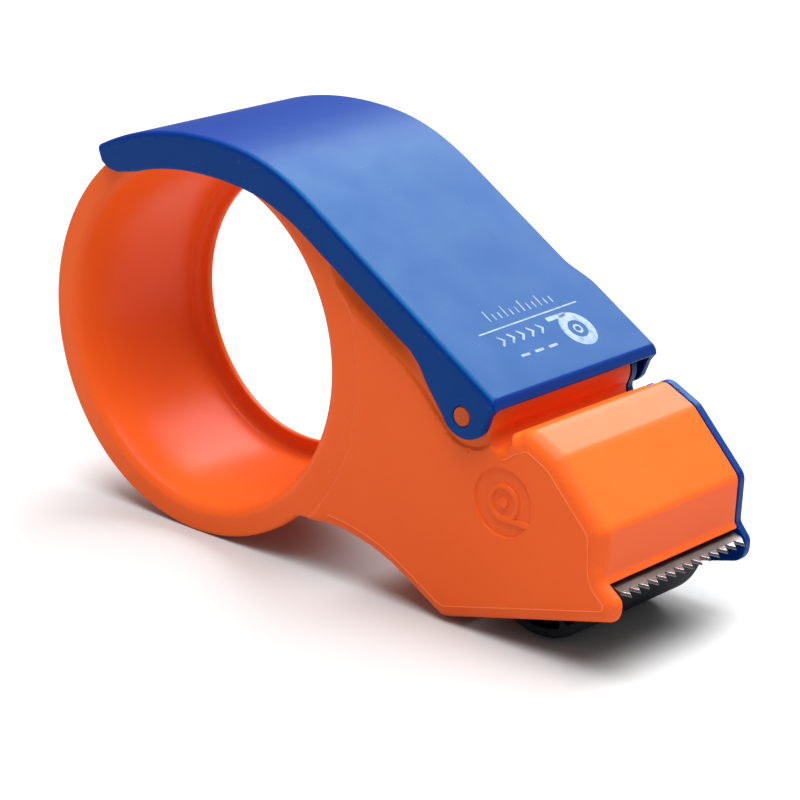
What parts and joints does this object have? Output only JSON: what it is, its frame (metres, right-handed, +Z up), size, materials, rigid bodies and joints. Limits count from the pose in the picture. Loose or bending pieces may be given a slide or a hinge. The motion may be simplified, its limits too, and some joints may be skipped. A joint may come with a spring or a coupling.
{
  "type": "tape dispenser",
  "caption": "Hand-held packing-tape dispenser with an open ring drum, a hinged guard lid, a toothed cutting blade and a press roller.",
  "frame": {"origin": "under the middle of the whole object, on the surface that it stands on", "axes": "+X forward to the nose and blade, +Y from the open drum mouth across to the side cover, along the drum, roller and hinge axes, +Z up"},
  "size_m": [0.1622, 0.0556, 0.0918],
  "materials": {
    "orange_plastic": "moulded, fine satin texture outside, glossy in the bore",
    "blue_plastic": "moulded, soft gloss",
    "black_plastic": "moulded, satin",
    "white_nylon": "natural nylon",
    "blade_steel": "punched strip, lightly brushed",
    "bright_steel": "zinc plated"
  },
  "bodies": {
    "body": {"main_body": "orange_plastic", "side_cover": "blue_plastic", "cutting_blade": "blade_steel", "blade_clamp": "bright_steel", "blade_screw_1": "bright_steel", "blade_screw_2": "bright_steel", "blade_screw_3": "bright_steel", "cover_screw_1": "bright_steel", "cover_screw_2": "bright_steel", "cover_screw_3": "bright_steel", "cover_screw_4": "bright_steel", "press_axle": "bright_steel", "guide_axle": "bright_steel", "washer_near": "white_nylon", "washer_far": "white_nylon"},
    "lid": {"top_lid": "blue_plastic"},
    "press_wheel": {"press_roller": "black_plastic"},
    "guide_wheel": {"guide_roller": "white_nylon"}
  },
  "joints": [
    {"name": "lid_hinge", "type": "hinge", "parent": "body", "child": "lid", "pos_m": [0.0413, 0, 0.0476], "axis": [0, 1, 0], "range_deg": [0, 40]},
    {"name": "press_spin", "type": "hinge", "parent": "body", "child": "press_wheel", "pos_m": [0.0569, 0, 0.01625], "axis": [0, 1, 0], "continuous": true},
    {"name": "guide_spin", "type": "hinge", "parent": "body", "child": "guide_wheel", "pos_m": [0.0341, 0, 0.0235], "axis": [0, 1, 0], "continuous": true}
  ]
}
